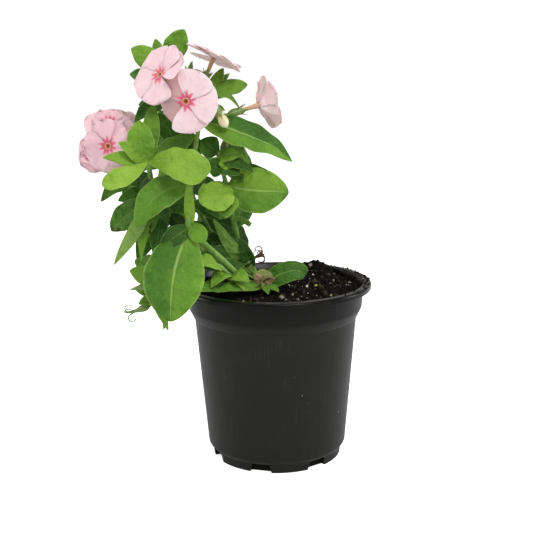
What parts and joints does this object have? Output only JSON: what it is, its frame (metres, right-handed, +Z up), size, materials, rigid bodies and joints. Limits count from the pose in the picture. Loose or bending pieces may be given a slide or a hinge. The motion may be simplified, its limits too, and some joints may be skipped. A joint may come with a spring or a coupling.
{
  "type": "potted garden phlox",
  "caption": "Leafy garden phlox with pale pink flat-faced flowers, leaning out to one side of a tapered round nursery pot of dark soil. It stands on the pot's flat underside.",
  "frame": {"origin": "centre of the pot's flat underside", "axes": "+Z up, the front of the plant looks along -Y and it leans towards -X"},
  "size_m": [0.1627, 0.1131, 0.244],
  "materials": {
    "pot_plastic": "satin, near-black moulded plastic",
    "soil": "moist crumbly potting mix with bark and white grains",
    "foliage": "soft satin green leaves and stems",
    "petals": "matte pale pink with a deep pink star at the eye",
    "bud": "matte cream"
  },
  "bodies": {
    "root": {"pot": "pot_plastic", "soil": "soil", "stem_front": "foliage", "stem_left": "foliage", "stem_top": "foliage", "stem_right": "foliage", "stem_low": "foliage", "stem_back": "foliage", "basal_tuft": "foliage", "bloom_front": "petals", "bloom_upper_left": "petals", "bloom_top": "petals", "bloom_right": "petals", "bloom_head_front": "petals", "bloom_head_top": "petals", "bloom_head_left": "petals", "bloom_head_back": "petals", "cream_bud": "bud"}
  },
  "joints": []
}
